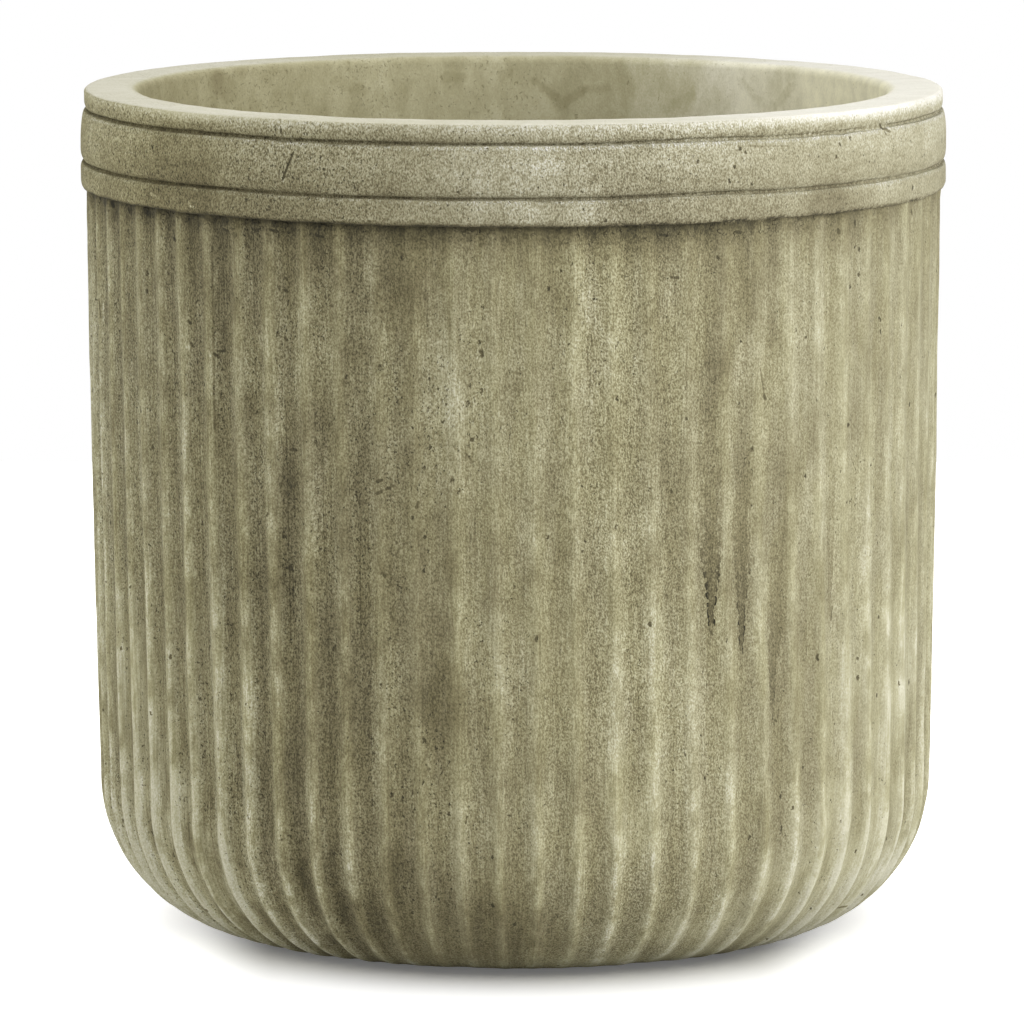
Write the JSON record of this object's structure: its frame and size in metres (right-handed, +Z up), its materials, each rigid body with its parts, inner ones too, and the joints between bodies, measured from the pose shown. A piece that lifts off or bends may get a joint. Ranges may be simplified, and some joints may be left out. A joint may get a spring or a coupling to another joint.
{
  "type": "cylinder planter",
  "caption": "Round cast cement planter with a grooved collar and a fluted wall, a lift-out rubber plug in its drain hole and rubber foot pads.",
  "frame": {"origin": "on the ground, under the middle of the planter, level with the undersides of the foot pads", "axes": "+Z up along the planter's axis, -Y towards the front of the picture, +X to the right of the picture"},
  "size_m": [0.4004, 0.4004, 0.3896],
  "materials": {
    "cement": "matt weathered cement, olive grey, pitted",
    "plug_rubber": "satin black rubber",
    "pad_rubber": "matt black rubber"
  },
  "bodies": {
    "pot": {"pot_body": "cement", "foot_pad_1": "pad_rubber", "foot_pad_2": "pad_rubber", "foot_pad_3": "pad_rubber", "foot_pad_4": "pad_rubber"},
    "plug": {"drain_plug": "plug_rubber"}
  },
  "joints": [
    {"name": "plug_lift", "type": "slide", "parent": "pot", "child": "plug", "axis": [0, 0, 1], "range_m": [0, 0.4]}
  ]
}
